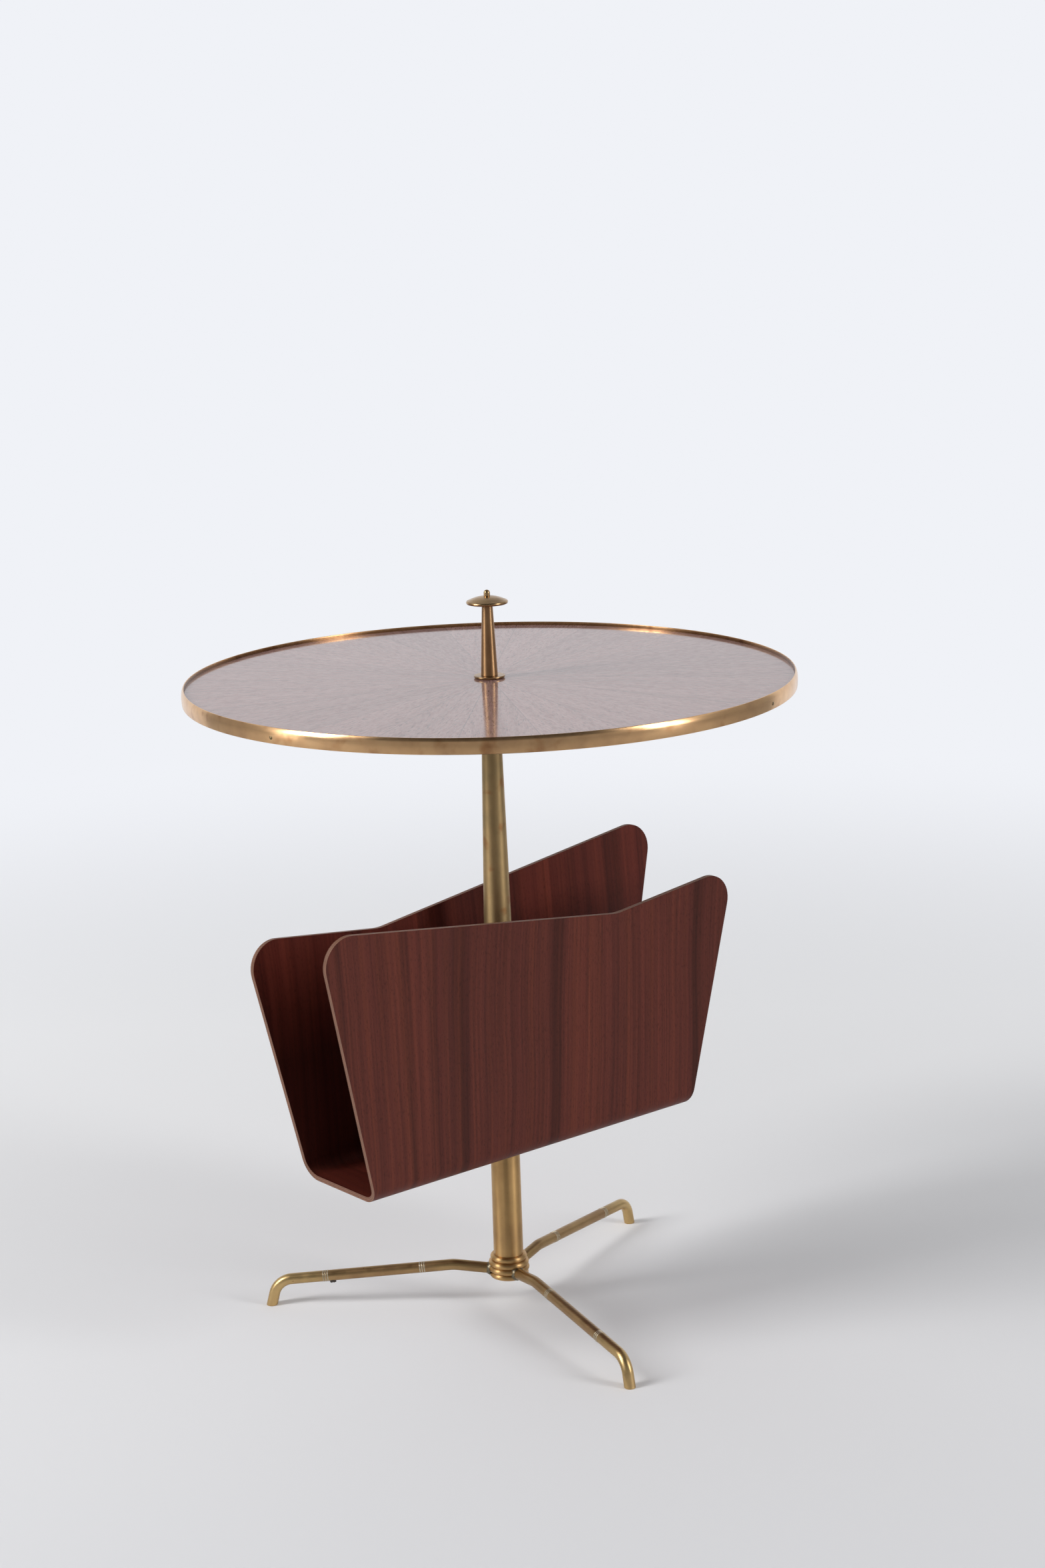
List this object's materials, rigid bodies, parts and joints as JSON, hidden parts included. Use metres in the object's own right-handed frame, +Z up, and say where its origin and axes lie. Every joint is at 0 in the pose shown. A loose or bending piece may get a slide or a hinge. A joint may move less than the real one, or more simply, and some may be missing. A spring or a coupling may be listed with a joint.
{
  "type": "magazine table with rack",
  "caption": "Round tray-top side table on a tapered brass stem and bent rod legs, with a U-shaped plywood magazine rack that turns on the stem below the top.",
  "frame": {"origin": "on the floor at the stem's axis", "axes": "+Z up along the stem, +X along the rack's length at rest, +Y across the rack"},
  "size_m": [0.4999, 0.5, 0.615],
  "materials": {
    "aged_brass": "satin, aged",
    "leg_brass": "satin, aged",
    "polished_brass": "satin, lightly polished",
    "rim_brass": "satin, tarnished in patches",
    "pin_brass": "tarnished",
    "ring_metal": "bright drawn wire",
    "dark_steel": "blackened",
    "plain_steel": "bright zinc",
    "fibre": "matte",
    "rack_veneer": "lacquered rosewood veneer over bent plywood",
    "top_veneer": "gloss lacquered rosewood veneer, radial",
    "backing_veneer": "plain sealed veneer",
    "core_board": "raw board"
  },
  "bodies": {
    "frame": {"hub": "aged_brass", "base_washer": "plain_steel", "base_nut": "plain_steel", "tie_rod": "plain_steel", "stem_lower": "aged_brass", "friction_washer_lower": "fibre", "swivel_bush": "aged_brass", "friction_washer_upper": "fibre", "stem_upper": "aged_brass", "top_flange": "aged_brass", "flange_screws": "plain_steel", "top_backing": "backing_veneer", "top_core": "core_board", "top_veneer": "top_veneer", "rim_band": "rim_brass", "rim_pins": "pin_brass", "collar": "polished_brass", "grip": "polished_brass", "finial_disc": "polished_brass", "finial_screw": "polished_brass", "leg_left": "leg_brass", "leg_rings_left": "ring_metal", "leg_front": "leg_brass", "leg_rings_front": "ring_metal", "leg_back": "leg_brass", "leg_rings_back": "ring_metal", "leg_set_screw": "dark_steel"},
    "rack": {"rack_shell": "rack_veneer"}
  },
  "joints": [
    {"name": "rack_swivel", "type": "hinge", "parent": "frame", "child": "rack", "pos_m": [0, 0, 0.1472], "axis": [0, 0, 1], "continuous": true}
  ]
}
